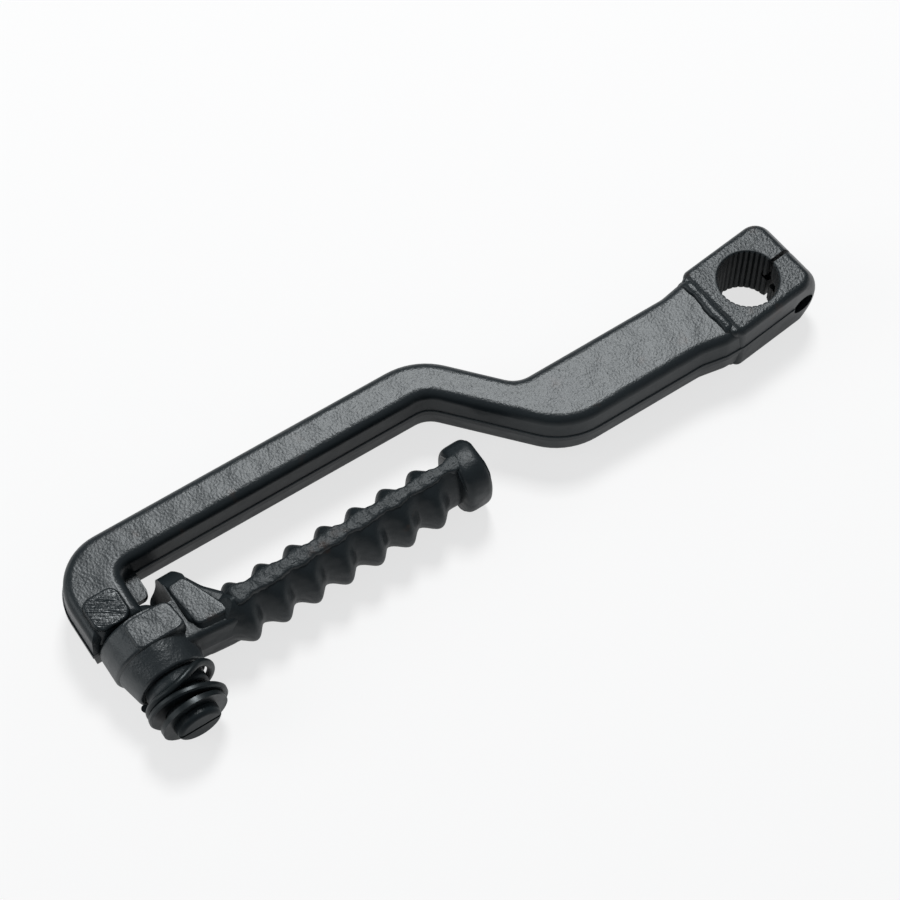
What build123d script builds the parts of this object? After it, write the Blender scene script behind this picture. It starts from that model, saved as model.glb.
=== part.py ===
from build123d import *
import os
from math import cos, radians, sin, tan

# Kick start lever with a folding pedal, in millimetres.
# The origin is on the axis of the splined clamp bore, halfway through the boss.
# +Z runs along the bore, +X from the bore to the pedal end, and the pedal's pin runs along +Y.
# The forging's parting plane is Z = 0. The pedal is modelled folded, with its peg along -X.

# Clamp boss round the kick shaft
BORE_R = 8.0
BOSS_HALF = 9.5
BOSS_TURN = 6.4
BOSS_OUTER = 16.6
BOSS_INNER = 12.6
BOSS_FAR = 12.3
BOSS_NEAR = 11.3
BOSS_END_MORE = 1.0
BOSS_CORNER_R = 4.0
BOSS_NECK_R = 2.2
BOSS_EDGE_R = 2.0
BORE_CHAMFER = 0.4
LEDGE_LENGTH = 1.7
LEDGE_DROP = 0.6
LEDGE_EDGE_R = 1.2
LEDGE_DRAFT = 4.0

# Splines of the bore: straight grooves with lands of the bore's own radius between them
SPLINE_COUNT = 36
SPLINE_DEPTH = 0.4
SPLINE_WIDTH = 0.7

# Pinch slit and the bolt holes across it
SLIT_WIDTH = 1.1
PINCH_X = 10.3
PINCH_CLEAR_R = 3.3
PINCH_TAP_R = 2.5

# Forged arm: a wide root beside the boss, a slanted jog and a slim shank, all as drafted bars
ARM_HALF = 8.3
ARM_DRAFT = 5.0
ARM_EDGE_R = 2.6
ROOT_WIDTH = 19.9
ROOT_Y = 1.05
ROOT_FLARE = 1.3
ROOT_FLARE_LENGTH = 7.0
ROOT_FLARE_R = 9.0
JOG_X = 76.0
JOG_Y = -12.3
JOG_WIDTH = 11.0
JOG_ANGLE = 48.0
JOG_INSIDE_R = 7.0
JOG_OUTSIDE_R = 20.0
SHANK_WIDTH = 12.2
SHANK_Y = -24.35
SHANK_SLANT = -0.6
FLASH_HEIGHT = 1.6
FLASH_PROUD = 0.25

# Bent end of the arm that carries the pedal's pin
PIN_X = 180.5
END_OUTER = 12.9
END_INNER = 3.2
END_FACE_Y = -4.3
END_CORNER_R = 15.0
END_BEND_R = 3.0
COLLAR_R = 6.6
COLLAR_LENGTH = 4.0
COLLAR_EDGE_R = 2.0
SHELF_REACH = 3.8
SHELF_LENGTH = 7.6
SHELF_HALF = 1.1
SHELF_R = 2.0

# Stop lug on top of the bent end
LUG_X = 5.2
LUG_LENGTH = 9.6
LUG_WIDTH = 9.4
LUG_BACK = 0.9
LUG_CORNER_R = 2.6
LUG_RISE = 1.3
LUG_EDGE_R = 0.7
LUG_DRAFT = 18.0

# Pin on the bent end
PIN_R = 6.1
PIN_END_Y = 25.7
PIN_END_R = 1.2
PART_LINE_WIDTH = 1.0
PART_LINE_DEPTH = 0.6
CLIP_GROOVE_R = 4.9

# Pedal hub, a barrel on the pin with a tapered nose
HUB_R = 11.7
HUB_LENGTH = 16.2
HUB_NOSE_R = 11.4
HUB_NOSE_TIP_R = 9.4
HUB_NOSE_LENGTH = 7.2
HUB_EDGE_R = 1.0
HUB_FLAT_HALF = 11.0
HUB_FLAT_LENGTH = 9.0
HUB_RUN = 0.06
HUB_GAP = 0.3

# Pedal web and its horn, which swings over onto the lug
WEB_HALF = 7.3
WEB_EDGE_R = 1.7
WEB_ROOT_FAR = 3.8
WEB_ROOT_NEAR = 4.6
WEB_HUB_NEAR = 7.6
HORN_REACH = 9.6
HORN_TIP_X = 3.0
HORN_BACK_X = 2.5
HORN_FAR_X = 13.8
HORN_ELBOW_X = 18.7
HORN_ELBOW_Y = 0.1
HORN_TIP_R = 2.3
HORN_ELBOW_R = 8.0
HORN_TOP_R = 9.4
HORN_TOP_Z = -1.0
STOP_GAP = 0.35
RIDGE_HALF = 8.4
RIDGE_EDGE_R = 1.4
RIDGE_DRAFT = 2.0
RIDGE_TIP_R = 1.8
RIDGE_FAR_X = 16.0
RIDGE_NEAR_Y = 5.2
RIDGE_BEND = 5.0
RIDGE_R = 3.0

# Ribbed peg: an eye-shaped section that swells into ribs on both flanks and keeps a straight crest
PEG_Y = 5.4
PEG_SLANT = 0.95
PEG_HALF = 10.6
PEG_CREST = 2.2
PEG_CREST_RISE = 0.5
PEG_CORE = 4.5
PEG_ROOT = 2.8
PEG_RIB = 7.9
PEG_START = 21.5
PEG_START_SLOPE = 10.0
PEG_LENGTH = 94.6
RIB_PITCH = 9.2
RIB_FIRST = 23.7
KNOB_LENGTH = 7.6
KNOB_HALF_W = 7.9
KNOB_R = 2.8
KNOB_CREST_R = 1.8

# Spring, washer and clip that hold the hub on the pin
# The spring has a flat turn on the hub, a ramp over the top and a flat turn on the tilted washer.
SPRING_WIRE_R = 1.0
SPRING_R = 9.5
SPRING_SIDE = -0.4
SPRING_RISE = 4.0
SPRING_SEAT = 0.05
SPRING_HUB_START = 10.0
SPRING_HUB_TURN = 200.0
SPRING_WASHER_START = -58.0
SPRING_WASHER_TURN = 205.0
WASHER_R = 10.4
WASHER_THICK = 1.6
WASHER_BEVEL = 0.4
WASHER_CLEAR = 0.35
WASHER_TILT = 8.0
CLIP_R = 9.0
CLIP_THICK = 1.4
CLIP_CLEAR = 0.1
CLIP_MOUTH = 60.0

# Places that follow from the sizes above
BOSS_END_R = BOSS_HALF + BOSS_CORNER_R + BOSS_END_MORE
HUB_BACK_Y = END_FACE_Y + HUB_GAP
HUB_FRONT_Y = HUB_BACK_Y + HUB_LENGTH
SPRING_HUB_Y = HUB_FRONT_Y + HUB_GAP + SPRING_WIRE_R
SPRING_WASHER_Y = SPRING_HUB_Y + SPRING_RISE
WASHER_HALF_Y = WASHER_THICK / 2 / cos(radians(WASHER_TILT))
WASHER_Y = SPRING_WASHER_Y + WASHER_HALF_Y + (SPRING_WIRE_R + SPRING_SEAT) / cos(radians(WASHER_TILT))
CLIP_BACK_Y = WASHER_Y + WASHER_HALF_Y + CLIP_R * tan(radians(WASHER_TILT)) + CLIP_CLEAR
RIB_ROOM = PEG_LENGTH - KNOB_LENGTH - RIB_FIRST + RIB_PITCH / 2
RIB_COUNT = int(RIB_ROOM // RIB_PITCH)
LUG_TOP = ARM_HALF + LUG_RISE
HORN_INNER = LUG_TOP + STOP_GAP
THROUGH = 3 * BOSS_HALF

# A round piece that grows from its plane along +Z
ON_PLANE = (Align.CENTER, Align.CENTER, Align.MIN)


def along_pin(y):
    """Plane square to the pin at the given Y, facing +Y, with its origin on the pin's axis."""
    return Plane(origin=(PIN_X, y, 0), x_dir=(1, 0, 0), z_dir=(0, 1, 0))


def crossing(first, second):
    """Point where two plan lines cross, each given as (x, y, angle in degrees)."""
    x1, y1, turn1 = first
    x2, y2, turn2 = second
    across = sin(radians(turn2 - turn1))
    step = ((x2 - x1) * sin(radians(turn2)) - (y2 - y1) * cos(radians(turn2))) / across
    return x1 + step * cos(radians(turn1)), y1 + step * sin(radians(turn1))


def rims(body):
    """Edges of a body's top and bottom faces."""
    faces = body.faces().sort_by(Axis.Z)
    return faces[-1].edges() + faces[0].edges()


def forged(outline, half, draft, edge_r):
    """Closed-die forging: the outline at the parting plane, drafted both ways, with rounded rims."""
    upper = extrude(outline, amount=half, taper=draft)
    body = upper + mirror(upper, about=Plane.XY)
    return fillet(rims(body), edge_r)


def rounded_outline(corners):
    """Closed outline from (x, y, radius) corners, each rounded where its radius isn't zero."""
    outline = make_face(Polyline(*[(x, y) for x, y, _ in corners], close=True))
    for x, y, radius in corners:
        if radius:
            corner = outline.vertices().sort_by_distance((x, y, 0))[0]
            outline = fillet(corner, radius)
    return outline


def bar_edge(x, y, angle, side, width):
    """Edge line of a straight bar through (x, y), on its near (+1) or far (-1) side."""
    shift = side * width / 2
    return x - shift * sin(radians(angle)), y + shift * cos(radians(angle)), angle


def arm_outline():
    """Plan outline of the arm at the parting plane, from inside the boss to the bent end."""
    root_far = bar_edge(0, ROOT_Y, 0, -1, ROOT_WIDTH)
    root_near = bar_edge(0, ROOT_Y, 0, 1, ROOT_WIDTH)
    jog_far = bar_edge(JOG_X, JOG_Y, -JOG_ANGLE, -1, JOG_WIDTH)
    jog_near = bar_edge(JOG_X, JOG_Y, -JOG_ANGLE, 1, JOG_WIDTH)
    shank_far = bar_edge(PIN_X, SHANK_Y, SHANK_SLANT, -1, SHANK_WIDTH)
    shank_near = bar_edge(PIN_X, SHANK_Y, SHANK_SLANT, 1, SHANK_WIDTH)
    outer_wall = (PIN_X + END_OUTER, END_FACE_Y, 90)
    inner_wall = (PIN_X - END_INNER, END_FACE_Y, 90)
    flare_x = BOSS_INNER + LEDGE_LENGTH
    straight_x = flare_x + ROOT_FLARE_LENGTH
    corners = [
        (BORE_R, root_far[1] - ROOT_FLARE, 0),
        (flare_x, root_far[1] - ROOT_FLARE, ROOT_FLARE_R),
        (straight_x, root_far[1], ROOT_FLARE_R),
        (*crossing(root_far, jog_far), JOG_INSIDE_R),
        (*crossing(jog_far, shank_far), JOG_OUTSIDE_R),
        (*crossing(shank_far, outer_wall), END_CORNER_R),
        (PIN_X + END_OUTER, END_FACE_Y, 0),
        (PIN_X - END_INNER, END_FACE_Y, 0),
        (*crossing(shank_near, inner_wall), END_BEND_R),
        (*crossing(jog_near, shank_near), JOG_INSIDE_R),
        (*crossing(root_near, jog_near), JOG_OUTSIDE_R),
        (straight_x, root_near[1], ROOT_FLARE_R),
        (flare_x, root_near[1] + ROOT_FLARE, ROOT_FLARE_R),
        (BORE_R, root_near[1] + ROOT_FLARE, 0),
    ]
    return rounded_outline(corners)


def boss_outline(start, inner, drop):
    """Plan outline of the boss between two X values, drawn in by a drop at the sides, before it is turned."""
    corners = [
        (start, drop - BOSS_FAR, 0),
        (inner, drop - BOSS_FAR, BOSS_NECK_R),
        (inner, BOSS_NEAR - drop, BOSS_NECK_R),
        (start, BOSS_NEAR - drop, 0),
    ]
    return rounded_outline(corners)


def clamp_boss():
    """Boss block, bulged at its split end, with the small ledge that steps down to the arm."""
    block = extrude(Pos(0, 0, -BOSS_HALF) * boss_outline(-BOSS_OUTER, BOSS_INNER, 0), amount=2 * BOSS_HALF)
    middle = Pos(BOSS_END_R - BOSS_OUTER, 0, 0)
    bulge = middle * Rot(90, 0, 0) * Cylinder(BOSS_END_R, 4 * BOSS_FAR)
    beside = middle * Box(4 * BOSS_FAR, 4 * BOSS_FAR, THROUGH, align=(Align.MIN, Align.CENTER, Align.CENTER))
    block = block & (bulge + beside)
    corners = [edge for edge in block.edges().filter_by(GeomType.CIRCLE) if edge.center().X < -BORE_R]
    block = fillet(corners, BOSS_CORNER_R)
    block = fillet(rims(block), BOSS_EDGE_R)
    ledge_plan = boss_outline(0, BOSS_INNER + LEDGE_LENGTH, LEDGE_DROP)
    ledge = forged(ledge_plan, BOSS_HALF - LEDGE_DROP, LEDGE_DRAFT, LEDGE_EDGE_R)
    return Rot(0, 0, BOSS_TURN) * (block + ledge)


def bend_shelf():
    """Thin shelf left along the parting plane in the inner corner of the bent end."""
    reach = END_INNER + SHELF_REACH
    length = SHANK_WIDTH / 2 + SHELF_LENGTH
    corners = [
        (PIN_X - reach, SHANK_Y, 0),
        (PIN_X, SHANK_Y, 0),
        (PIN_X, SHANK_Y + length, 0),
        (PIN_X - reach, SHANK_Y + length, SHELF_R),
    ]
    return extrude(rounded_outline(corners), amount=SHELF_HALF, both=True)


def stop_lug():
    """Raised pad on the bent end that the pedal's horn lands on."""
    middle_y = END_FACE_Y - LUG_BACK - LUG_WIDTH / 2
    base = Pos(PIN_X + LUG_X, middle_y, LUG_TOP) * RectangleRounded(LUG_LENGTH, LUG_WIDTH, LUG_CORNER_R)
    pad = extrude(base, amount=-LUG_TOP + ARM_HALF / 2, taper=-LUG_DRAFT)
    return fillet(pad.faces().sort_by(Axis.Z)[-1].edges(), LUG_EDGE_R)


def pin():
    """Pin along +Y from a short round collar, with a clip groove and a parting line across its round end."""
    collar = along_pin(END_FACE_Y - COLLAR_LENGTH) * Cylinder(COLLAR_R, COLLAR_LENGTH, align=ON_PLANE)
    collar = fillet(collar.edges().sort_by(Axis.Y)[0], COLLAR_EDGE_R)
    root_y = END_FACE_Y - COLLAR_LENGTH / 2
    rod = along_pin(root_y) * Cylinder(PIN_R, PIN_END_Y - root_y, align=ON_PLANE)
    rod = fillet(rod.edges().sort_by(Axis.Y)[-1], PIN_END_R)
    groove_width = CLIP_THICK + 2 * CLIP_CLEAR
    ring = Circle(2 * PIN_R) - Circle(CLIP_GROOVE_R)
    groove = along_pin(CLIP_BACK_Y - CLIP_CLEAR) * extrude(ring, amount=groove_width)
    part_line = Pos(PIN_X, PIN_END_Y, 0) * Box(4 * PIN_R, 2 * PART_LINE_DEPTH, PART_LINE_WIDTH)
    return collar + rod - groove - part_line


def bore_cut():
    """Splined bore: the round hole, its straight grooves and the light chamfer at each mouth."""
    inside = BORE_R - SPLINE_DEPTH
    half = SPLINE_WIDTH / 2
    groove = make_face(
        Polyline((inside, -half), (BORE_R, -half), (BORE_R + SPLINE_DEPTH, 0), (BORE_R, half), (inside, half),
                 close=True)
    )
    pitch = 360 / SPLINE_COUNT
    grooves = [Rot(0, 0, BOSS_TURN + pitch * (i + 0.5)) * groove for i in range(SPLINE_COUNT)]
    hole = extrude(Circle(BORE_R) + grooves, amount=THROUGH / 2, both=True)
    mouth_r = BORE_R + SPLINE_DEPTH + BORE_CHAMFER
    mouth = Pos(0, 0, BOSS_HALF) * Cone(mouth_r - 2 * BORE_CHAMFER, mouth_r, 2 * BORE_CHAMFER)
    return hole + mouth + mirror(mouth, about=Plane.XY)


def pinch_cut():
    """Slit from the bore to the boss end, with a clearance hole near side and a tapped hole far side."""
    reach = 2 * BOSS_OUTER
    slit = Pos(-reach / 2, 0, 0) * Box(reach, SLIT_WIDTH, THROUGH)
    across = Plane(origin=(-PINCH_X, 0, 0), x_dir=(1, 0, 0), z_dir=(0, 1, 0))
    near = across * Cylinder(PINCH_CLEAR_R, reach, align=ON_PLANE)
    far = across * Cylinder(PINCH_TAP_R, reach, align=(Align.CENTER, Align.CENTER, Align.MAX))
    return Rot(0, 0, BOSS_TURN) * (slit + near + far)


def lever_arm():
    """The forging: clamp boss, arm with its flash line, bent end, stop lug and pin in one piece."""
    plan = arm_outline()
    arm = forged(plan, ARM_HALF, ARM_DRAFT, ARM_EDGE_R)
    flash = extrude(offset(plan, FLASH_PROUD), amount=FLASH_HEIGHT / 2, both=True)
    boss_plan = Rot(0, 0, BOSS_TURN) * boss_outline(BOSS_CORNER_R - BOSS_OUTER, BOSS_INNER, -FLASH_PROUD)
    boss_flash = extrude(boss_plan, amount=FLASH_HEIGHT / 2, both=True)
    beyond_end = Pos(PIN_X, END_FACE_Y, 0) * Box(
        6 * END_OUTER, END_OUTER, THROUGH, align=(Align.CENTER, Align.MIN, Align.CENTER)
    )
    body = arm + flash + clamp_boss() + boss_flash + bend_shelf() + stop_lug() - beyond_end
    return body + pin() - bore_cut() - pinch_cut()


def hub():
    """Barrel on the pin with a tapered nose towards the spring and forged flats top and bottom."""
    barrel_length = HUB_LENGTH - HUB_NOSE_LENGTH
    barrel = along_pin(HUB_BACK_Y) * Cylinder(HUB_R, barrel_length, align=ON_PLANE)
    barrel = fillet(barrel.edges().filter_by(GeomType.CIRCLE), HUB_EDGE_R)
    side = (Align.CENTER, Align.MIN, Align.CENTER)
    flats = Pos(PIN_X, HUB_BACK_Y, 0) * Box(4 * HUB_R, HUB_FLAT_LENGTH, 2 * HUB_FLAT_HALF, align=side)
    beyond = Pos(PIN_X, HUB_BACK_Y + HUB_FLAT_LENGTH, 0) * Box(4 * HUB_R, HUB_LENGTH, 4 * HUB_R, align=side)
    nose_back = 2 * HUB_EDGE_R
    nose = along_pin(HUB_FRONT_Y - HUB_NOSE_LENGTH - nose_back) * Cone(
        HUB_NOSE_R, HUB_NOSE_TIP_R, HUB_NOSE_LENGTH + nose_back, align=ON_PLANE
    )
    nose = fillet(nose.edges().sort_by(Axis.Y)[-1], HUB_EDGE_R)
    return (barrel & (flats + beyond)) + nose


def web():
    """Flat-topped gusset from the hub to the peg, with the ridge that ends in the round-topped stop horn."""
    root_x = PIN_X - RIB_FIRST
    horn_y = HUB_BACK_Y - HORN_REACH
    corners = [
        (root_x, PEG_Y - WEB_ROOT_FAR, 0),
        (PIN_X - HORN_ELBOW_X, HUB_BACK_Y - HORN_ELBOW_Y, HORN_ELBOW_R),
        (PIN_X - HORN_FAR_X, horn_y, HORN_TIP_R),
        (PIN_X - HORN_TIP_X, horn_y, 0),
        (PIN_X - HORN_BACK_X, HUB_BACK_Y, 0),
        (PIN_X, HUB_BACK_Y, 0),
        (PIN_X, WEB_HUB_NEAR, 0),
        (root_x, PEG_Y + WEB_ROOT_NEAR, 0),
    ]
    gusset = forged(rounded_outline(corners), WEB_HALF, ARM_DRAFT, WEB_EDGE_R)
    inner_x = PIN_X - HORN_INNER
    ridge_corners = [
        (PIN_X - HORN_FAR_X, horn_y, RIDGE_TIP_R),
        (inner_x, horn_y, RIDGE_TIP_R),
        (inner_x, RIDGE_NEAR_Y, RIDGE_R),
        (PIN_X - RIDGE_FAR_X, RIDGE_NEAR_Y, RIDGE_R),
        (PIN_X - RIDGE_FAR_X, horn_y + RIDGE_BEND, RIDGE_R),
    ]
    ridge = forged(rounded_outline(ridge_corners), RIDGE_HALF, RIDGE_DRAFT, RIDGE_EDGE_R)
    top_y = horn_y + HORN_TOP_R
    wide = 4 * HUB_R
    over_top = Pos(PIN_X, top_y, HORN_TOP_Z) * Rot(0, 90, 0) * Cylinder(HORN_TOP_R, 2 * wide)
    near_box = Box(2 * wide, wide, wide, align=(Align.CENTER, Align.MIN, Align.CENTER))
    lower_box = Box(2 * wide, 2 * wide, wide, align=(Align.CENTER, Align.CENTER, Align.MAX))
    beside = Pos(PIN_X, top_y, 0) * near_box + Pos(PIN_X, 0, HORN_TOP_Z) * lower_box
    return (gusset + ridge) & (over_top + beside)


def horn_clearance():
    """Room for the bent end inside the horn: flat above, so that it lands on the lug, and round below."""
    length = 3 * HORN_REACH
    end = along_pin(HUB_BACK_Y - length) * Cylinder(HORN_INNER, length, align=ON_PLANE)
    above = Pos(PIN_X - HORN_INNER, HUB_BACK_Y, 0) * Box(
        2 * HORN_INNER, length, 2 * HUB_R, align=(Align.MIN, Align.MAX, Align.MIN)
    )
    return end + above


def eye_section(x, half_w):
    """Eye-shaped section across the peg at the given X, with a round crest above and below."""
    side = PEG_CREST / 2
    shoulder = PEG_HALF - PEG_CREST_RISE
    flank = ThreePointArc((side, shoulder), (half_w, 0), (side, -shoulder))
    crest = ThreePointArc((-side, shoulder), (0, PEG_HALF), (side, shoulder))
    section = make_face(crest + flank + mirror(crest, about=Plane.XZ) + mirror(flank, about=Plane.YZ))
    return Plane(origin=(x, 0, 0), x_dir=(0, 1, 0), z_dir=(1, 0, 0)) * section


def ribbed_bar():
    """Bar of the peg: slim at the root, then even waves, four steps to a rib, and plain to inside the knob."""
    step = RIB_PITCH / 4
    first_x = RIB_PITCH / 2 - RIB_FIRST
    middle = (PEG_RIB + PEG_CORE) / 2
    swing = (PEG_RIB - PEG_CORE) / 2
    last = 4 * RIB_COUNT
    widths = [PEG_ROOT, (PEG_ROOT + PEG_CORE) / 2]
    widths += [middle - swing * cos(radians(90 * i)) for i in range(last + 1)]
    plain_steps = 1 + int((RIB_ROOM - RIB_COUNT * RIB_PITCH) // step)
    widths += [PEG_CORE] * plain_steps
    return loft([eye_section(first_x + (2 - i) * step, half_w) for i, half_w in enumerate(widths)])


def knob():
    """Plain knob at the peg's tip, rounded in plan and from the side."""
    middle_x = KNOB_LENGTH / 2 - PEG_LENGTH
    bar = extrude(eye_section(-PEG_LENGTH, KNOB_HALF_W), amount=KNOB_LENGTH)
    plan = Pos(middle_x, 0) * RectangleRounded(KNOB_LENGTH, 2 * KNOB_HALF_W, KNOB_R)
    profile = Pos(middle_x, 0) * RectangleRounded(KNOB_LENGTH, 2 * PEG_HALF, KNOB_CREST_R)
    from_side = extrude(Plane.XZ * profile, amount=KNOB_HALF_W, both=True)
    return bar & extrude(plan, amount=PEG_HALF, both=True) & from_side


def peg():
    """Ribbed foot peg with its knob, sloped at the root, along -X from the pin's axis."""
    middle = PEG_START_SLOPE - PEG_START
    trim = make_face(
        Polyline((-PEG_LENGTH, -PEG_HALF), (-PEG_LENGTH, PEG_HALF), (-PEG_START, PEG_HALF), (middle, 0),
                 (-PEG_START, -PEG_HALF), close=True)
    )
    side = extrude(Plane.XZ * trim, amount=2 * PEG_RIB, both=True)
    return (ribbed_bar() & side) + knob()


def kick_pedal():
    """Folding pedal: hub, web with stop horn and ribbed peg in one piece."""
    placed_peg = Pos(PIN_X, PEG_Y, 0) * Rot(0, 0, PEG_SLANT) * peg()
    body = hub() + (web() - horn_clearance()) + placed_peg
    return body - along_pin(-2 * HUB_LENGTH) * Cylinder(PIN_R + HUB_RUN, 4 * HUB_LENGTH, align=ON_PLANE)


def hub_spring():
    """Compression spring: a flat turn on the hub, a ramp over the top and a flat turn on the washer."""
    wire = Plane.XZ * Pos(SPRING_R, 0) * Circle(SPRING_WIRE_R)
    tilted = Pos(0, 0, SPRING_RISE) * Rot(0, WASHER_TILT, 0)
    hub_turn = Rot(0, 0, SPRING_HUB_START) * revolve(wire, Axis.Z, revolution_arc=SPRING_HUB_TURN)
    washer_turn = Rot(0, 0, SPRING_WASHER_START) * revolve(wire, Axis.Z, revolution_arc=SPRING_WASHER_TURN)
    washer_turn = tilted * washer_turn
    hub_arc = CenterArc((0, 0), SPRING_R, SPRING_HUB_START, SPRING_HUB_TURN)
    washer_arc = tilted * CenterArc((0, 0), SPRING_R, SPRING_WASHER_START, SPRING_WASHER_TURN)
    halfway = (SPRING_HUB_START + SPRING_HUB_TURN + SPRING_WASHER_START + 360) / 2
    top = Vector(SPRING_R, 0, SPRING_RISE / 2).rotate(Axis.Z, halfway)
    ramp = Spline(hub_arc @ 1, top, washer_arc @ 0, tangents=(hub_arc % 1, washer_arc % 0))
    riser = sweep(Plane(origin=ramp @ 0, z_dir=ramp % 0) * Circle(SPRING_WIRE_R), path=ramp)
    return along_pin(SPRING_HUB_Y) * Pos(SPRING_SIDE, 0, 0) * (hub_turn + riser + washer_turn)


def retaining_washer():
    """Flat washer with bevelled rims that the spring bears on, tilted by the spring's uneven push."""
    disc = Cylinder(WASHER_R, WASHER_THICK)
    disc = chamfer(disc.edges().filter_by(GeomType.CIRCLE), WASHER_BEVEL)
    ring = disc - Cylinder(PIN_R + WASHER_CLEAR, 3 * WASHER_THICK)
    return along_pin(WASHER_Y) * Rot(0, WASHER_TILT, 0) * ring


def retaining_clip():
    """Open snap ring in the pin's groove, in front of the washer."""
    reach = 2 * CLIP_R
    half = reach * tan(radians(CLIP_MOUTH / 2))
    mouth = make_face(Polyline((0, 0), (half, reach), (-half, reach), close=True))
    ring = Circle(CLIP_R) - Circle(CLIP_GROOVE_R + CLIP_CLEAR) - mouth
    return along_pin(CLIP_BACK_Y) * extrude(ring, amount=CLIP_THICK)


os.makedirs("parts", exist_ok=True)
export_step(lever_arm(), "parts/lever_arm.step")
export_step(kick_pedal(), "parts/kick_pedal.step")
export_step(hub_spring(), "parts/hub_spring.step")
export_step(retaining_washer(), "parts/retaining_washer.step")
export_step(retaining_clip(), "parts/retaining_clip.step")
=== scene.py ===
"""Looks of the kick start lever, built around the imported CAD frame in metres."""

import logging
import math
from dataclasses import dataclass
from enum import Enum
from typing import Any

import bpy
import numpy as np
from mathutils import Matrix, Vector


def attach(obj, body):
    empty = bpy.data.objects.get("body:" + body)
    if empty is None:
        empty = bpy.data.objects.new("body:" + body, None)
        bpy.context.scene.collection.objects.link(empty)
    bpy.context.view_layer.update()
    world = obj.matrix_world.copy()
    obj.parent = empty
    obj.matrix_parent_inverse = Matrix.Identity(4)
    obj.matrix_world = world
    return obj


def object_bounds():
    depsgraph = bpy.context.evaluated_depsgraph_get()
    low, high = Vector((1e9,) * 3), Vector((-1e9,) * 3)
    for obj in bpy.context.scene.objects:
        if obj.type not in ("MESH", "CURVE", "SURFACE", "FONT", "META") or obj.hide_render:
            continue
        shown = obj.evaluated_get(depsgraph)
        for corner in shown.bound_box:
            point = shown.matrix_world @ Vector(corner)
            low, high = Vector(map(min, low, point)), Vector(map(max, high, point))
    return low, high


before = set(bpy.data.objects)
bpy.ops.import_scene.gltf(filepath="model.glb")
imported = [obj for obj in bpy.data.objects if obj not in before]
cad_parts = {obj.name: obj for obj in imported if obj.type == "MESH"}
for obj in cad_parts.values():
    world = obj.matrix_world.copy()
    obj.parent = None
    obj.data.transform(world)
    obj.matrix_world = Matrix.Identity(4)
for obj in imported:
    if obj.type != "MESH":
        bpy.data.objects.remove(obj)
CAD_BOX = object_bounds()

LOG = logging.getLogger("kick_start_lever")
MM = 0.001
FULL_TURN = 2.0 * math.pi
WHOLE = (0.0, 1.0)

# Points on a strip's arch, round a ring and on a quarter round
ARCH_POINTS = 17
RING_POINTS = 96
QUARTER_POINTS = 7

Pair = tuple[float, float]
Point = tuple[float, float, float]
Corners = tuple[Pair, ...]
Waves = tuple[tuple[float, ...], ...]
Faces = list[list[int]]
Mesh = tuple[np.ndarray, Faces]
Material = bpy.types.Material
Socket = bpy.types.NodeSocket
Tree = bpy.types.NodeTree


class Body(Enum):
    """CAD bodies that pieces ride on."""

    LEVER = "lever"
    PEDAL = "pedal"


class Slot(Enum):
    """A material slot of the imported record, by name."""

    FORGING = "black_forging"


class Face(Enum):
    """The two faces of a forging, by the sign of their height."""

    UPPER = 1.0
    LOWER = -1.0

    @property
    def label(self) -> str:
        """The face's word in the names of pieces."""
        return self.name.lower()


def linear(hex_colour: str) -> tuple[float, float, float, float]:
    """Turns an sRGB hex colour into linear light.

    Args:
        hex_colour: The colour as "#rrggbb".

    Returns:
        Red, green, blue and an alpha of one.
    """
    shares = [int(hex_colour[i : i + 2], 16) / 255 for i in (1, 3, 5)]
    light = [s / 12.92 if s <= 0.04045 else ((s + 0.055) / 1.055) ** 2.4 for s in shares]
    return (*light, 1.0)


def per_metre(size_mm: float) -> float:
    """Gives the texture scale for features of a real size.

    Args:
        size_mm: The features' width.

    Returns:
        How many of them fit in a metre.
    """
    return 1.0 / (size_mm * MM)


def add(tree: Tree, kind: str, inputs: dict[Any, Any], **settings: Any) -> bpy.types.Node:
    """Adds a node with its settings, and fills or links its inputs.

    Args:
        tree: The node tree to add to.
        kind: The node's type name, without its ShaderNode prefix.
        inputs: Values or output sockets, by input name or number.
        settings: Properties of the node itself.

    Returns:
        The new node.
    """
    made = tree.nodes.new("ShaderNode" + kind)
    for name, value in settings.items():
        setattr(made, name, value)
    for key, value in inputs.items():
        if isinstance(value, Socket):
            tree.links.new(value, made.inputs[key])
        else:
            made.inputs[key].default_value = value
    return made


def blank_material(name: str) -> tuple[Material, Tree]:
    """Starts a node material with no nodes in it.

    Args:
        name: The material's name.

    Returns:
        The material and its empty node tree.
    """
    material = bpy.data.materials.new(name)
    material.use_nodes = True
    material.node_tree.nodes.clear()
    return material, material.node_tree


def ramp(tree: Tree, value: Socket, span: Pair, to: Pair) -> Socket:
    """Maps a value smoothly from one span onto another, flat beyond both ends.

    Args:
        tree: The node tree to add to.
        value: The output socket to map.
        span: Where the change starts and ends.
        to: The results before the start and after the end.

    Returns:
        The output socket of the result.
    """
    numbers = {
        "Value": value,
        "From Min": span[0],
        "From Max": span[1],
        "To Min": to[0],
        "To Max": to[1],
    }
    return add(tree, "MapRange", numbers, interpolation_type="SMOOTHSTEP").outputs[0]


def math_node(tree: Tree, operation: str, *values: Socket | float) -> Socket:
    """Joins values or sockets by one sum, product or the like.

    Args:
        tree: The node tree to add to.
        operation: Blender's name for the operation.
        values: Up to three numbers or output sockets.

    Returns:
        The output socket of the result.
    """
    return add(tree, "Math", dict(enumerate(values)), operation=operation).outputs[0]


def mix_colours(tree: Tree, share: Socket, first: Any, second: Any) -> Socket:
    """Mixes two colours.

    Args:
        tree: The node tree to add to.
        share: The socket of the second colour's share.
        first: The colour at a share of 0, as a value or a socket.
        second: The colour at a share of 1.

    Returns:
        The output socket of the mixed colour.
    """
    return add(tree, "MixRGB", {"Fac": share, "Color1": first, "Color2": second}).outputs[0]


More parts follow.
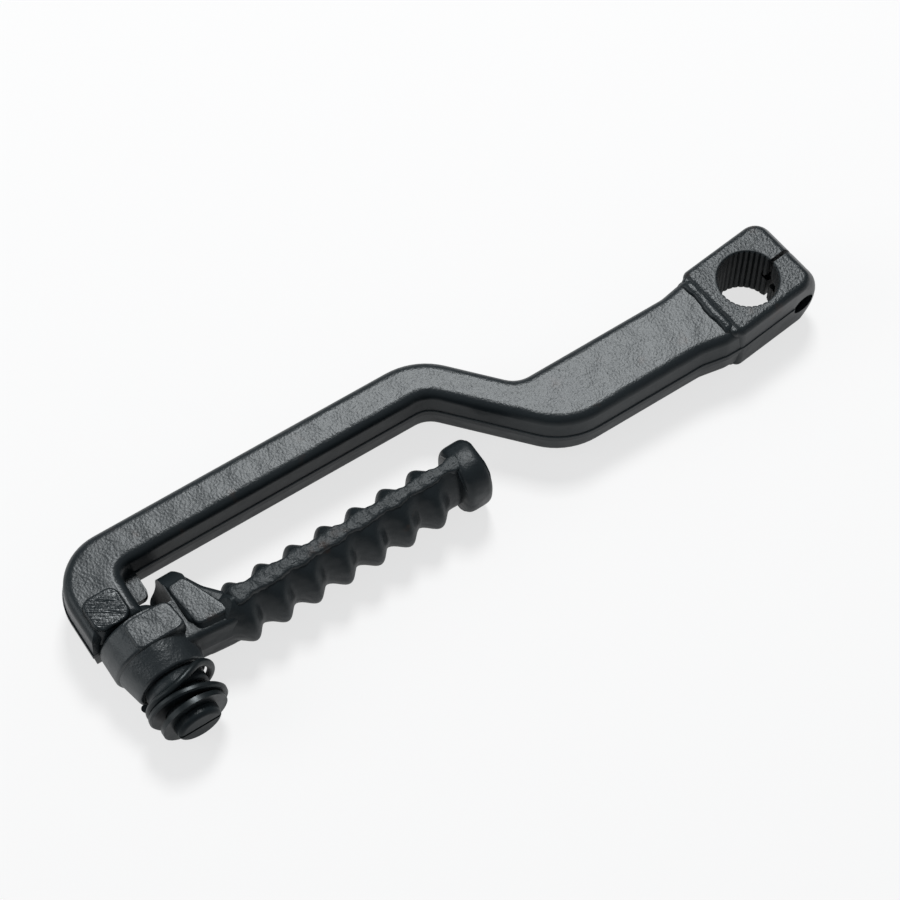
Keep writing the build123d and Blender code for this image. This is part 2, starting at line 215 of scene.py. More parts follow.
def noise(tree: Tree, place: Socket, size_mm: float, detail: float) -> Socket:
    """Gives cloudy noise whose lumps are about size_mm wide.

    Args:
        tree: The node tree to add to.
        place: The socket of the coordinates in metres.
        size_mm: The width of the largest lumps.
        detail: How many finer layers are added.

    Returns:
        The output socket of the noise, from 0 to 1.
    """
    inputs = {"Vector": place, "Scale": per_metre(size_mm), "Detail": detail}
    return add(tree, "TexNoise", inputs).outputs[0]


def bumps(tree: Tree, height: Socket, depth_mm: float) -> Socket:
    """Gives the normal of a bumpy surface.

    Args:
        tree: The node tree to add to.
        height: The socket of the height, where 1 is the full depth.
        depth_mm: The full depth.

    Returns:
        The output socket of the normal.
    """
    inputs = {"Strength": 1.0, "Distance": depth_mm * MM, "Height": height}
    return add(tree, "Bump", inputs).outputs[0]


@dataclass(frozen=True)
class SoftBox:
    """A box in the part's frame with sides that fade out, all in mm."""

    low: Point
    high: Point
    soft: float

    def mask(self, tree: Tree, place: Socket) -> Socket:
        """Masks the box.

        Args:
            tree: The node tree to add to.
            place: The socket of the coordinates in metres.

        Returns:
            The output socket of the mask, 1 inside and 0 outside.
        """
        axes = add(tree, "SeparateXYZ", {0: place}).outputs
        sides = []
        for axis, low, high in zip(axes, self.low, self.high):
            rise = ramp(tree, axis, ((low - self.soft) * MM, low * MM), (0.0, 1.0))
            fall = ramp(tree, axis, (high * MM, (high + self.soft) * MM), (1.0, 0.0))
            sides.append(math_node(tree, "MULTIPLY", rise, fall))
        plan = math_node(tree, "MULTIPLY", sides[0], sides[1])
        return math_node(tree, "MULTIPLY", plan, sides[2])


@dataclass(frozen=True)
class ForgedPaint:
    """Black paint sprayed over as-forged steel.

    It gives the eye orange peel on the die's level faces and smooth, darker drafted walls. The block,
    which is the thick end of the forging, is scaled more coarsely and shines in its own way. The stop
    lug carries file marks, the splined bore is bare, oiled steel that stays darker than the paint, and
    the flash ledge's level faces get a painted highlight in light grey. The values of the bore, the lug
    and the pin are added to those of the paint round them, and those of the block multiply them.
    """

    name: str = "black_paint_on_forged_steel"
    colour: str = "#171d20"
    worn_colour: str = "#22282b"
    rust_colour: str = "#3a2a22"
    # Light grey of the painted highlight on the flash ledge's level faces
    ledge_highlight_colour: str = "#565c5f"
    shine_tint: str = "#f8fdff"
    grain_mm: float = 0.65
    grain_detail: float = 3.0
    grain_depth_mm: float = 0.07
    pit_mm: float = 0.6
    pit_smoothness: float = 0.7
    pit_share: float = 0.5
    lump_mm: float = 6.0
    lump_detail: float = 1.0
    lump_depth_mm: float = 0.26
    patch_mm: float = 14.0
    patch_detail: float = 2.0
    rust_mm: float = 7.0
    rust_detail: float = 4.0
    rust_span: Pair = (0.62, 0.78)
    rust_most: float = 0.7
    wall_share: float = 0.08
    wall_spread: Pair = (0.5, 0.95)
    flat_roughness: float = 0.36
    wall_roughness: float = 0.34
    bore_roughness: float = 0.2
    lug_roughness: float = -0.08
    flat_shine: float = 0.38
    wall_shine: float = 0.22
    bore_shine: float = 0.2
    pin_shine: float = -0.65
    block: SoftBox = SoftBox((-20.0, -16.0, -12.0), (13.0, 16.0, 12.0), 2.0)
    block_gain: float = 0.9
    block_shine: float = 0.95
    block_wall_shine: float = 1.2
    lug: SoftBox = SoftBox((180.4, -15.0, 9.1), (191.0, -4.8, 12.0), 0.4)
    file_along: Point = (-0.84, 0.54, 0.0)
    file_mm: float = 1.5
    file_detail: float = 3.0
    file_stretch: float = 9.0
    file_depth_mm: float = 0.8
    bore_mm: Pair = (8.45, 8.75)
    pin: SoftBox = SoftBox((172.0, 15.0, -8.0), (189.0, 27.0, 8.0), 0.5)
    flash: SoftBox = SoftBox((-20.0, -40.0, -1.0), (172.0, 20.0, 1.0), 0.2)
    # How far a face must look up or down to take the painted ledge highlight
    ledge_highlight_spread: Pair = (0.4, 0.8)

    def material(self) -> Material:
        """Builds the paint from its relief, colour, roughness and shine.

        Returns:
            The finished material.
        """
        material, tree = blank_material(self.name)
        coords = add(tree, "TexCoord", {})
        place = coords.outputs["Object"]
        upright = add(tree, "SeparateXYZ", {0: coords.outputs["Normal"]}).outputs["Z"]
        facing = math_node(tree, "ABSOLUTE", upright)
        flat = ramp(tree, facing, self.wall_spread, (self.wall_share, 1.0))
        block = self.block.mask(tree, place)
        lug = self.lug.mask(tree, place)
        bore = self.bore(tree, place)
        shader = add(
            tree,
            "BsdfPrincipled",
            {
                "Base Color": self.tone(tree, place, facing),
                "Roughness": self.roughness(tree, flat, bore, lug),
                "Normal": self.relief(tree, place, flat, block, lug),
                "Specular IOR Level": self.shine(tree, place, flat, bore, block),
                "Specular Tint": linear(self.shine_tint),
            },
        )
        add(tree, "OutputMaterial", {"Surface": shader.outputs[0]})
        return material

    def bore(self, tree: Tree, place: Socket) -> Socket:
        """Masks what lies closer to the clamp bore's axis than the mouth's edge.

        Args:
            tree: The material's node tree.
            place: The socket of the coordinates in metres.

        Returns:
            The mask's output socket.
        """
        to_plan = {0: place, 1: (1.0, 1.0, 0.0)}
        plan = add(tree, "VectorMath", to_plan, operation="MULTIPLY").outputs[0]
        radius = add(tree, "VectorMath", {0: plan}, operation="LENGTH").outputs["Value"]
        return ramp(tree, radius, (self.bore_mm[0] * MM, self.bore_mm[1] * MM), (1.0, 0.0))

    def roughness(self, tree: Tree, flat: Socket, bore: Socket, lug: Socket) -> Socket:
        """Gives the roughness, higher in the bore and lower on the lug.

        Args:
            tree: The material's node tree.
            flat: The mask of faces that look up or down.
            bore: The mask of the clamp bore.
            lug: The mask of the stop lug's top.

        Returns:
            The roughness's output socket.
        """
        rough = ramp(tree, flat, WHOLE, (self.wall_roughness, self.flat_roughness))
        rough = math_node(tree, "MULTIPLY_ADD", bore, self.bore_roughness, rough)
        return math_node(tree, "MULTIPLY_ADD", lug, self.lug_roughness, rough)

    def shine(self, tree: Tree, place: Socket, flat: Socket, bore: Socket, block: Socket) -> Socket:
        """Gives the strength of the reflection, with its own gloss in the bore, on the pin and on the block.

        Args:
            tree: The material's node tree.
            place: The socket of the coordinates in metres.
            flat: The mask of faces that look up or down.
            bore: The mask of the clamp bore.
            block: The mask of the forging's thick end.

        Returns:
            The strength's output socket.
        """
        shine = ramp(tree, flat, WHOLE, (self.wall_shine, self.flat_shine))
        gloss = math_node(tree, "MULTIPLY_ADD", bore, self.bore_shine, 1.0)
        gloss = math_node(tree, "MULTIPLY_ADD", self.pin.mask(tree, place), self.pin_shine, gloss)
        lift = ramp(tree, flat, WHOLE, (self.block_wall_shine - 1.0, self.block_shine - 1.0))
        gloss = math_node(tree, "MULTIPLY_ADD", block, lift, gloss)
        return math_node(tree, "MULTIPLY", shine, gloss)

    def relief(self, tree: Tree, place: Socket, flat: Socket, block: Socket, lug: Socket) -> Socket:
        """Adds up orange peel, pits, forging lumps and the lug's file marks into one bump.

        Args:
            tree: The material's node tree.
            place: The socket of the coordinates in metres.
            flat: The mask of faces that look up or down.
            block: The mask of the forging's thick end.
            lug: The mask of the stop lug's top.

        Returns:
            The bumped normal's output socket.
        """
        grain = noise(tree, place, self.grain_mm, self.grain_detail)
        pits = add(
            tree,
            "TexVoronoi",
            {"Vector": place, "Scale": per_metre(self.pit_mm), "Smoothness": self.pit_smoothness},
            feature="SMOOTH_F1",
        ).outputs["Distance"]
        peel = math_node(tree, "MULTIPLY_ADD", pits, self.pit_share, grain)
        peel = math_node(tree, "MULTIPLY", peel, flat)
        coarse = math_node(tree, "MULTIPLY_ADD", block, self.block_gain, 1.0)
        peel = math_node(tree, "MULTIPLY", peel, coarse)
        lumps = noise(tree, place, self.lump_mm, self.lump_detail)
        lump_gain = self.lump_depth_mm / self.grain_depth_mm
        height = math_node(tree, "MULTIPLY_ADD", lumps, lump_gain, peel)
        marks = math_node(tree, "MULTIPLY", self.file_marks(tree, place), lug)
        file_gain = self.file_depth_mm / self.grain_depth_mm
        height = math_node(tree, "MULTIPLY_ADD", marks, file_gain, height)
        return bumps(tree, height, self.grain_depth_mm)

    def file_marks(self, tree: Tree, place: Socket) -> Socket:
        """Gives noise that is drawn out along the strokes of a file.

        Args:
            tree: The material's node tree.
            place: The socket of the coordinates in metres.

        Returns:
            The noise's output socket.
        """
        along = Vector(self.file_along)
        across = Vector((-along.y, along.x, 0.0))
        axes = [
            add(tree, "VectorMath", {0: place, 1: axis}, operation="DOT_PRODUCT").outputs["Value"]
            for axis in (along / self.file_stretch, across)
        ]
        streak = add(tree, "CombineXYZ", dict(enumerate(axes))).outputs[0]
        return noise(tree, streak, self.file_mm, self.file_detail)

    def tone(self, tree: Tree, place: Socket, facing: Socket) -> Socket:
        """Mixes fresh and worn paint in soft patches, with a breath of rust, and paints a grey highlight on
        the flash ledge.

        Args:
            tree: The material's node tree.
            place: The socket of the coordinates in metres.
            facing: The socket of how far a face looks up or down.

        Returns:
            The colour's output socket.
        """
        patch = noise(tree, place, self.patch_mm, self.patch_detail)
        paint = mix_colours(tree, patch, linear(self.colour), linear(self.worn_colour))
        spots = noise(tree, place, self.rust_mm, self.rust_detail)
        spots = ramp(tree, spots, self.rust_span, (0.0, self.rust_most))
        paint = mix_colours(tree, spots, paint, linear(self.rust_colour))
        # Painted highlight: the level faces of the flash ledge are lightened to grey so that they read as
        # lit
        level = ramp(tree, facing, self.ledge_highlight_spread, WHOLE)
        ledge = math_node(tree, "MULTIPLY", self.flash.mask(tree, place), level)
        return mix_colours(tree, ledge, paint, linear(self.ledge_highlight_colour))


@dataclass(frozen=True)
class BlackOxide:
    """Black oxide on drawn wire and stamped steel.

    It gives the eye thin, dark steel that is smoother and a little glossier than the paint.
    """

    name: str = "black_oxide_on_steel"
    colour: str = "#14191b"
    shine_tint: str = "#ecf7fb"
    mark_mm: float = 2.2
    mark_detail: float = 4.0
    mark_depth_mm: float = 0.03
    roughness: Pair = (0.26, 0.46)
    shine: float = 0.3

    def material(self) -> Material:
        """Builds the oxide: gentle unevenness from noise in both roughness and height.

        Returns:
            The finished material.
        """
        material, tree = blank_material(self.name)
        place = add(tree, "TexCoord", {}).outputs["Object"]
        marks = noise(tree, place, self.mark_mm, self.mark_detail)
        shader = add(
            tree,
            "BsdfPrincipled",
            {
                "Base Color": linear(self.colour),
                "Roughness": ramp(tree, marks, WHOLE, self.roughness),
                "Normal": bumps(tree, marks, self.mark_depth_mm),
                "Specular IOR Level": self.shine,
                "Specular Tint": linear(self.shine_tint),
            },
        )
        add(tree, "OutputMaterial", {"Surface": shader.outputs[0]})
        return material


# The arm and the web's plate: even orange peel on level tops that mirror the lamp
ARM_PAINT = ForgedPaint()

# The pedal: broader lumps and a duller gleam, with a hub that catches light all round
PEDAL_PAINT = ForgedPaint(
    name="black_paint_on_forged_pedal",
    lump_mm=4.5,
    lump_depth_mm=0.42,
    wall_share=0.2,
    wall_spread=(0.35, 0.98),
    flat_roughness=0.40,
    wall_roughness=0.38,
    block=SoftBox((171.5, -4.5, -13.0), (195.0, 13.0, 13.0), 2.0),
    block_gain=0.4,
    block_shine=2.0,
    block_wall_shine=3.4,
    flat_shine=0.26,
)

# The peg's crest: coarse, dull grain that boots have rubbed
CREST_PAINT = ForgedPaint(
    name="rubbed_paint_on_forged_crest",
    grain_mm=1.0,
    grain_depth_mm=0.14,
    flat_roughness=0.46,
    flat_shine=0.3,
)


def dress(node: str, material: Material) -> None:
    """Gives a CAD node its material and reports it.

    Args:
        node: The node's name.
        material: The material for all of its faces.
    """
    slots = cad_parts[node].data.materials
    slots.clear()
    slots.append(material)
    LOG.info("%s: %s", node, material.name)


def add_piece(name: str, mesh: Mesh, material: Material, body: Body) -> None:
    """Adds a smooth mesh piece that rides on a body.

    Args:
        name: The piece's name.
        mesh: Its vertices in mm, in the row frame, and its faces.
        material: Its material.
        body: The CAD body that it moves with.
    """
    points, faces = mesh
    data = bpy.data.meshes.new(name)
    data.from_pydata(points * MM, [], faces)
    data.shade_smooth()
    data.materials.append(material)
    piece = bpy.data.objects.new(name, data)
    bpy.context.scene.collection.objects.link(piece)
    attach(piece, body.value)
    LOG.info("%s: %d faces", name, len(faces))


def circle(points: int) -> np.ndarray:
    """Spaces angles evenly round a full turn.

    Args:
        points: How many angles.

    Returns:
        The angles in radians, from 0 up.
    """
    return np.linspace(0.0, FULL_TURN, points, endpoint=False)


def quarter() -> np.ndarray:
    """Spaces angles evenly over a quarter round.

    Returns:
        The angles in radians, with both ends.
    """
    return np.linspace(0.0, math.pi / 2, QUARTER_POINTS)


def signed_power(values: np.ndarray, power: float) -> np.ndarray:
    """Raises the size of each value to a power and keeps its sign.

    Args:
        values: The values.
        power: The power.

    Returns:
        The raised values.
    """
    return np.sign(values) * np.abs(values) ** power


def smooth_step(values: np.ndarray) -> np.ndarray:
    """Eases values from 0 to 1, level at both ends and beyond them.

    Args:
        values: The values to ease.

    Returns:
        The eased values.
    """
    share = np.clip(values, 0.0, 1.0)
    return share * share * (3.0 - 2.0 * share)


def waves(terms: Waves, *places: np.ndarray) -> np.ndarray:
    """Adds up sines of one or more measures.

    Args:
        terms: For each sine its size, its phase and its rate per mm along each measure.
        places: The measures in mm, of shapes that fit together.

    Returns:
        The sum at each place.
    """
    total = np.zeros(1)
    for size, phase, *rates in terms:
        angle = phase + sum(rate * place for rate, place in zip(rates, places))
        total = total + size * np.sin(angle)
    return total


def tube_faces(rows: int, columns: int, flip: bool = False, round_again: bool = False) -> Faces:
    """Joins rings of vertices into a closed tube.

    Args:
        rows: The number of rings.
        columns: The number of vertices in each ring.
        flip: Whether the faces turn the other way round.
        round_again: Whether the last ring joins the first, instead of a face over each end.

    Returns:
        The faces as lists of vertex numbers.
    """
    ring = np.arange(columns)
    start = np.arange(rows if round_again else rows - 1)[:, None] * columns
    end = (start + columns) % (rows * columns)
    after = (ring + 1) % columns
    quads = np.stack((start + ring, start + after, end + after, end + ring), axis=-1)
    faces = quads.reshape(-1, 4).tolist()
    if not round_again:
        faces += [ring[::-1].tolist(), (ring + (rows - 1) * columns).tolist()]
    return [face[::-1] for face in faces] if flip else faces


def strip_section(
    half: np.ndarray, shoulder: np.ndarray, top: np.ndarray, foot: Pair, fullness: float
) -> tuple[np.ndarray, np.ndarray]:
    """Gives a strip's sections: up one wall, over an arch between round shoulders, down the other.

    The arch is half a superellipse. At a fullness of 1 it is elliptical, and less than that makes its
    middle flatter.

    Args:
        half: Half the width at the shoulders, one row per section.
        shoulder: The height of the shoulders, one row per section.
        top: The height of the middle, one row per section.
        foot: Half the width and the height of the hidden foot.
        fullness: The power that is applied to the arch's sine and cosine.

    Returns:
        The measures across the strip and up, each as sections by points.
    """
    arch = np.linspace(0.0, math.pi, ARCH_POINTS)[None, :]
    across = -half * signed_power(np.cos(arch), fullness)
    up = shoulder + (top - shoulder) * signed_power(np.sin(arch), fullness)
    wide = np.full(half.shape, foot[0])
    low = np.full(half.shape, foot[1])
    return np.hstack((-wide, across, wide)), np.hstack((low, up, low))


@dataclass(frozen=True)
class RootBead:
    """The forged bead across the root beside the boss, in mm.

    It is a round strip that bends down at the bar's rims. Its height follows a quarter round beyond the
    bar's level top, and its top, sides and width wander by sums of sines.
    """

    ends: Pair = (-9.6, 9.7)
    sections: int = 110
    x: float = 12.95
    slope: float = -0.074
    half: float = 1.6
    top: float = 9.45
    shoulder: float = 8.25
    foot: float = 5.0
    fullness: float = 1.0
    level_middle: float = 0.6
    level_half: float = 7.2
    rim_r: float = 2.6
    rough: float = 0.14
    top_waves: Waves = ((0.5, 0.0, 0.5), (0.3, 1.0, 1.2))
    side_waves: Waves = ((1.0, 0.0, 0.6),)
    width_waves: Waves = ((0.07, 0.5, 0.7), (0.03, 0.0, 2.1))

    def mesh(self, face: Face) -> Mesh:
        """Makes the bead on one face.

        Args:
            face: The face that it lies on.

        Returns:
            The vertices in the row frame and the faces.
        """
        y = np.linspace(*self.ends, self.sections)[:, None]
        past = np.clip(np.abs(y - self.level_middle) - self.level_half, 0.0, self.rim_r)
        drop = self.rim_r - np.sqrt(self.rim_r**2 - past**2)
        half = self.half * (1.0 + waves(self.width_waves, y))
        top = self.top - drop + self.rough * waves(self.top_waves, y)
        foot = (self.half, self.foot)
        across, up = strip_section(half, self.shoulder - drop, top, foot, self.fullness)
        x = self.x + self.slope * y + self.rough * waves(self.side_waves, y) + across
        y = np.broadcast_to(y, x.shape)
        points = np.column_stack((x.ravel(), y.ravel(), up.ravel() * face.value))
        return points, tube_faces(*x.shape, flip=face is Face.LOWER)


@dataclass(frozen=True)
class PegCrest:
    """The wide, rough crest of the peg, in mm out from the pin's axis, across and up.

    It is a round-shouldered strip that climbs from the web and narrows to the knob. It is wider at each
    rib, and its width and top wander by sums of sines.
    """

    ends: Pair = (20.4, 89.0)
    sections: int = 190
    rise: float = 2.4
    half_ends: Pair = (2.35, 1.85)
    shift: float = -0.5
    rib_first: float = 23.7
    rib_pitch: float = 9.2
    rib_swell: float = 0.3
    low: float = 7.0
    shoulder: float = 9.9
    arch: float = 0.72
    foot: Pair = (3.2, 5.0)
    fullness: float = 0.62
    rough: float = 0.1
    width_waves: Waves = ((1.0, 0.0, 1.1), (0.6, 1.0, 2.7))
    top_waves: Waves = ((0.4, 0.0, 0.9, 0.8), (0.4, 1.0, 1.7, -1.3), (0.28, 2.0, 2.9, 1.9))

    def mesh(self, face: Face) -> Mesh:
        """Makes the crest on one face.

        Args:
            face: The face that it lies on.

        Returns:
            The vertices in peg measures and the faces.
        """
        start, end = self.ends
        root, tip = self.half_ends
        out = np.linspace(start, end, self.sections)[:, None]
        half = root + (tip - root) * (out - start) / (end - start)
        half = half + self.rib_swell * np.cos(FULL_TURN * (out - self.rib_first) / self.rib_pitch)
        half = half + self.rough * waves(self.width_waves, out)
        climb = smooth_step((out - start) / self.rise)
        shoulder = self.low + (self.shoulder - self.low) * climb
        across, up = strip_section(half, shoulder, shoulder + self.arch, self.foot, self.fullness)
        above = up > self.foot[1]
        up = up + self.rough * waves(self.top_waves, out, across) * above
        out = np.broadcast_to(out, across.shape)
        points = np.column_stack((out.ravel(), across.ravel() + self.shift, up.ravel() * face.value))
        return points, tube_faces(*across.shape, flip=face is Face.LOWER)


@dataclass(frozen=True)
class PegKnob:
    """The peg's round knob, in mm out from the pin's axis, across and up.

    It is a superellipsoid with nearly flat ends, well rounded edges and full sides.
    """

    middle: float = 90.8
    half: Point = (4.2, 8.0, 10.72)
    end_power: float = 4.8
    round_power: float = 2.4
    rings: int = 49
    ring_points: int = 72
    pole_gap: float = 0.02

    def mesh(self) -> Mesh:
        """Makes the knob.

        Returns:
            The vertices in peg measures and the faces.
        """
        polar = np.linspace(self.pole_gap, math.pi - self.pole_gap, self.rings)[:, None]
        angle = circle(self.ring_points)
        end = signed_power(np.cos(polar), 2.0 / self.end_power)
        reach = signed_power(np.sin(polar), 2.0 / self.end_power)
        across = reach * signed_power(np.cos(angle), 2.0 / self.round_power)
        up = reach * signed_power(np.sin(angle), 2.0 / self.round_power)
        out = np.broadcast_to(end, across.shape)
        points = np.column_stack((out.ravel(), across.ravel(), up.ravel())) * np.array(self.half)
        points[:, 0] += self.middle
        return points, tube_faces(*across.shape)


@dataclass(frozen=True)
class HubNeck:
    """The hub's sleeve round the pin inside the spring, in mm.

    Its profile goes out along the bore, round the front edge and back along the outside, and is turned
    about the pin's axis.
    """

    axis_x: float = 180.5
    inner_r: float = 6.35
    outer_r: float = 7.85
    edge_r: float = 0.9
    back_y: float = 11.0
    front_y: float = 16.7

    def mesh(self) -> Mesh:
        """Makes the neck.

        Returns:
            The vertices in the row frame and the faces.
        """
        inset = self.edge_r * (1.0 - np.sin(quarter()))
        setback = self.edge_r * (1.0 - np.cos(quarter()))
        radius = np.concatenate(([self.inner_r] * 2, self.outer_r - inset, [self.outer_r]))[:, None]
        y = np.concatenate(([self.back_y, self.front_y], self.front_y - setback, [self.back_y]))
        angle = circle(RING_POINTS)
        x = self.axis_x + radius * np.cos(angle)
        z = radius * np.sin(angle)
        points = np.column_stack((x.ravel(), np.repeat(y, RING_POINTS), z.ravel()))
        return points, tube_faces(*x.shape, round_again=True)


@dataclass(frozen=True)
class Pad:
    """A raised pad with four corners in plan, round corners and a round rim, in mm.

    Its rings follow a squarish superellipse that is stretched evenly between four corners. The first two
    rings stand on the feet and make the lower wall, the next ones a quarter round above the slope from
    the feet to the corners, and the last one lies further in on the level top. The corners and the feet
    are in the same order round the pad.
    """

    corners: Corners
    feet: Corners
    foot: float
    knee: float
    top: float
    edge_r: float = 0.7
    squareness: float = 0.3

    def mesh(self, face: Face) -> Mesh:
        """Makes the pad on one face.

        Args:
            face: The face that it lies on.

        Returns:
            The vertices in the row frame and the faces.
        """
        corners, feet = np.array(self.corners), np.array(self.feet)
        angle = circle(RING_POINTS)
        u = signed_power(np.cos(angle), self.squareness)
        v = signed_power(np.sin(angle), self.squareness)
        rim_in = self.edge_r * (1.0 - np.cos(quarter()))
        rim_down = self.edge_r * (1.0 - np.sin(quarter()))
        inset = np.concatenate(([0.0, 0.0], rim_in, [2.0 * self.edge_r]))[:, None]
        up = np.concatenate(([self.foot, self.knee], self.top - rim_down, [self.top]))
        length = np.linalg.norm(corners[1] - corners[0])
        width = np.linalg.norm(corners[2] - corners[1])
        u = 0.5 + 0.5 * u * (1.0 - 2.0 * inset / length)
        v = 0.5 + 0.5 * v * (1.0 - 2.0 * inset / width)
        shares = np.stack(((1 - u) * (1 - v), u * (1 - v), u * v, (1 - u) * v), axis=-1)
        plan = np.concatenate((shares[:2] @ feet, shares[2:] @ corners)).reshape(-1, 2)
        points = np.column_stack((plan, np.repeat(up, RING_POINTS) * face.value))
        return points, tube_faces(len(up), RING_POINTS, flip=face is Face.LOWER)


@dataclass
class LeverForging:
    """The arm with its clamp boss, bent end, stop lug and pin, and the bead between boss and root."""

    node: str = "lever_arm"
    bead: RootBead = RootBead()

    def build(self, paint: Material) -> None:
        """Paints the forging and lays the bead on both of its faces.

        Args:
            paint: The forging's paint.
        """
        dress(self.node, paint)
        for face in Face:
            mesh = self.bead.mesh(face)
            add_piece("boss_bead_" + face.label, mesh, paint, Body.LEVER)


@dataclass
class FoldingPedal:
    """The pedal with its hub, web, horn and ribbed peg, and the forms that are forged on them.

    Peg measures run in mm from the pin's axis out along the peg, which is turned a little in plan.
    """

    node: str = "kick_pedal"
    peg_x: float = 180.5
    peg_y: float = 5.4
    peg_turn_deg: float = 0.95
    crest: PegCrest = PegCrest()
    knob: PegKnob = PegKnob()
    neck: HubNeck = HubNeck()
    hub_pad: Pad = Pad(
        corners=((184.9, -3.7), (184.9, 5.1), (171.2, 5.0), (172.4, -3.4)),
        feet=((184.9, -3.7), (184.9, 5.3), (171.0, 5.2), (172.2, -3.4)),
        foot=5.5,
        knee=8.0,
        top=11.38,
    )
    web_plate: Pad = Pad(
        corners=((170.3, -7.4), (169.2, 5.7), (159.4, 6.6), (165.4, -7.8)),
        feet=((170.3, -7.4), (169.4, 8.1), (158.9, 9.1), (165.2, -7.8)),
        foot=4.5,
        knee=6.6,
        top=8.5,
    )

    def build(self, paint: Material, plate: Material, rubbed: Material) -> None:
        """Paints the pedal and adds the crest and the pads, above and below alike, the neck and the knob.

        Args:
            paint: The pedal's paint.
            plate: The paint of the plate on the web.
            rubbed: The rougher, rubbed paint of the crest.
        """
        dress(self.node, paint)
        for face in Face:
            self.add("peg_crest_" + face.label, self.from_peg(self.crest.mesh(face)), rubbed)
            self.add("hub_pad_" + face.label, self.hub_pad.mesh(face), paint)
            self.add("web_plate_" + face.label, self.web_plate.mesh(face), plate)
        self.add("hub_neck", self.neck.mesh(), paint)
        self.add("peg_knob", self.from_peg(self.knob.mesh()), paint)

    def add(self, name: str, mesh: Mesh, paint: Material) -> None:
        """Adds one piece to the pedal.

        Args:
            name: The piece's name.
            mesh: Its vertices in mm, in the row frame, and its faces.
            paint: Its material.
        """
        add_piece(name, mesh, paint, Body.PEDAL)

    def from_peg(self, mesh: Mesh) -> Mesh:
        """Turns a mesh in peg measures into the row frame.

        Args:
            mesh: The vertices out along the peg, across it and up, and the faces.

        Returns:
            The vertices in the row frame and the same faces.
        """
        points, faces = mesh
        turn = math.radians(self.peg_turn_deg)
        out, across, up = points.T
        x = self.peg_x - out * math.cos(turn) - across * math.sin(turn)
        y = self.peg_y - out * math.sin(turn) + across * math.cos(turn)
        return np.column_stack((x, y, up)), faces


@dataclass
class PinHardware:
    """Spring, washer and clip on the pin."""

    nodes: tuple[str, ...] = ("hub_spring", "retaining_washer", "retaining_clip")

    def build(self, oxide: Material) -> None:
        """Blackens the hardware.

        Args:
            oxide: The hardware's black oxide.
        """
        for node in self.nodes:
            dress(node, oxide)


@dataclass(frozen=True)
class Lamp:
    """A square lamp that faces the arm, at a direction and distance from it."""

    name: str
    direction: Point
    distance_m: float
    size_m: float
    watts: float

    def hang(self, aim_mm: Point) -> None:
        """Hangs the lamp.

        Args:
            aim_mm: The place on the arm that it faces.
        """
        lamp = bpy.data.lights.new(self.name, "AREA")
        lamp.energy = self.watts
        lamp.size = self.size_m
        box = bpy.data.objects.new(self.name, lamp)
        bpy.context.scene.collection.objects.link(box)
        towards = Vector(self.direction).normalized()
        box.location = Vector(aim_mm) * MM + towards * self.distance_m
        box.rotation_euler = (-towards).to_track_quat("-Z", "Y").to_euler()


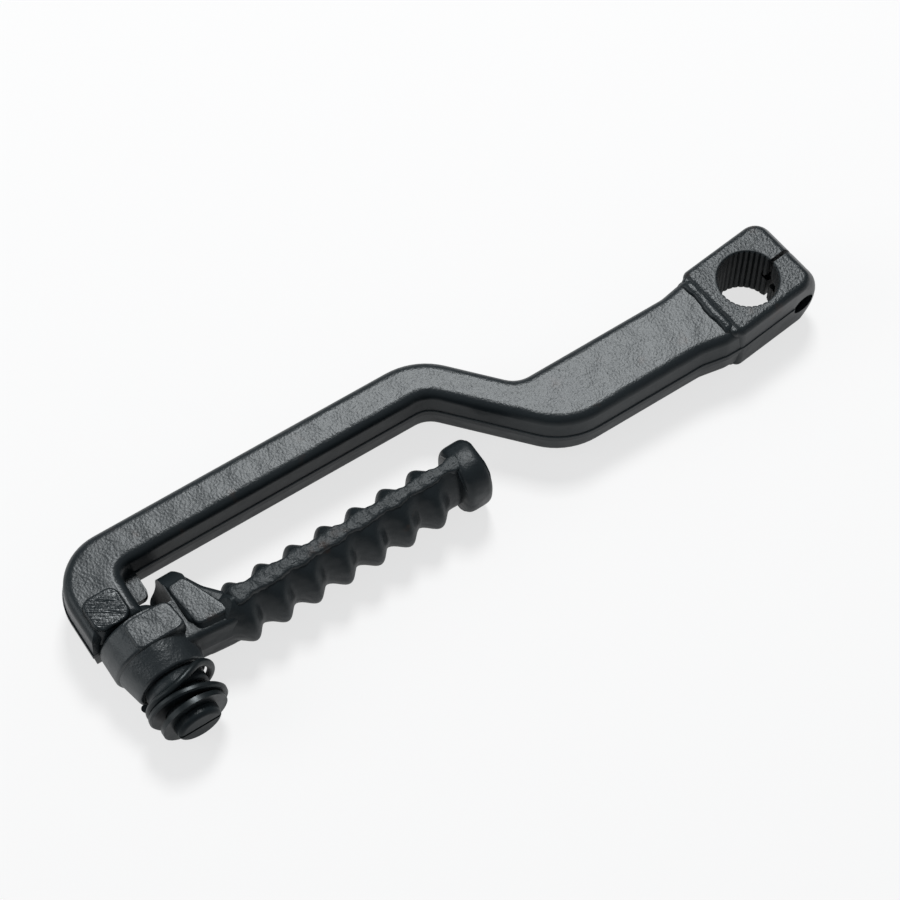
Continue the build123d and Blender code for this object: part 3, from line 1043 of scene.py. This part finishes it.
@dataclass
class Studio:
    """Pale floor, soft overhead light and the camera at the photograph's angle."""

    camera_mm: Point = (274.4, 281.2, 683.0)
    forward: Point = (-0.2430, -0.3742, -0.8949)
    lens_mm: float = 120.0
    sensor_mm: float = 36.0
    floor_half_m: float = 3.0
    floor_colour: str = "#f4f4f4"
    floor_white_share: float = 0.72
    floor_mirror_share: float = 0.4
    world_colour: str = "#f4f9ff"
    world_strength: float = 0.22
    aim_mm: Point = (72.0, -10.0, 8.0)
    key: Lamp = Lamp("key", (-0.2654, -0.3818, 0.8853), distance_m=1.3, size_m=0.32, watts=13.0)
    fill: Lamp = Lamp("fill", (0.82, -0.36, 0.44), distance_m=1.3, size_m=0.8, watts=3.5)

    def build(self) -> None:
        """Builds the stage in order."""
        self.floor()
        self.light()
        self.camera()

    def floor(self) -> None:
        """Lays a flat floor just under the object."""
        half = self.floor_half_m
        low = CAD_BOX[0].z
        mesh = bpy.data.meshes.new("studio_floor")
        corners = [(-half, -half, low), (half, -half, low), (half, half, low), (-half, half, low)]
        mesh.from_pydata(corners, [], [(0, 1, 2, 3)])
        mesh.materials.append(self.floor_material())
        floor = bpy.data.objects.new("studio_floor", mesh)
        bpy.context.scene.collection.objects.link(floor)

    def floor_material(self) -> Material:
        """Builds the floor's matt white, which is white to the camera and still shaded by the object.

        Returns:
            The finished material.
        """
        material, tree = blank_material("matt_white_floor")
        path = add(tree, "LightPath", {}).outputs
        straight = math_node(tree, "MAXIMUM", path["Is Camera Ray"], path["Is Transmission Ray"])
        seen = math_node(tree, "MULTIPLY", straight, self.floor_white_share)
        mirrored = math_node(tree, "MULTIPLY", path["Is Glossy Ray"], self.floor_mirror_share)
        share = math_node(tree, "MAXIMUM", seen, mirrored)
        matt = add(tree, "BsdfDiffuse", {"Color": linear(self.floor_colour)}).outputs[0]
        white = add(tree, "Emission", {"Strength": 1.0}).outputs[0]
        mix = add(tree, "MixShader", {0: share, 1: matt, 2: white}).outputs[0]
        add(tree, "OutputMaterial", {"Surface": mix})
        return material

    def light(self) -> None:
        """Hangs the key where level faces mirror it and a weak fill, in an even white surround."""
        world = bpy.data.worlds.new("white_surround")
        world.use_nodes = True
        tree = world.node_tree
        tree.nodes.clear()
        inputs = {"Color": linear(self.world_colour), "Strength": self.world_strength}
        even = add(tree, "Background", inputs).outputs[0]
        add(tree, "OutputWorld", {"Surface": even})
        bpy.context.scene.world = world
        for lamp in (self.key, self.fill):
            lamp.hang(self.aim_mm)

    def camera(self) -> None:
        """Places the camera at the photograph's angle, level, with a long lens."""
        data = bpy.data.cameras.new("photo_camera")
        data.lens = self.lens_mm
        data.sensor_width = self.sensor_mm
        camera = bpy.data.objects.new("photo_camera", data)
        bpy.context.scene.collection.objects.link(camera)
        forward = Vector(self.forward).normalized()
        right = forward.cross(Vector((0, 0, 1))).normalized()
        up = right.cross(forward)
        turn = Matrix((right, up, -forward)).transposed().to_4x4()
        camera.matrix_world = Matrix.Translation(Vector(self.camera_mm) * MM) @ turn
        bpy.context.scene.camera = camera


def main() -> None:
    """Builds every class in order and reports each piece."""
    logging.basicConfig(level=logging.INFO, format="%(message)s")
    bpy.context.scene.view_settings.view_transform = "Standard"
    paint = ARM_PAINT.material()
    LeverForging().build(paint)
    FoldingPedal().build(PEDAL_PAINT.material(), paint, CREST_PAINT.material())
    PinHardware().build(BlackOxide().material())
    Studio().build()


if __name__ == "__main__":
    main()
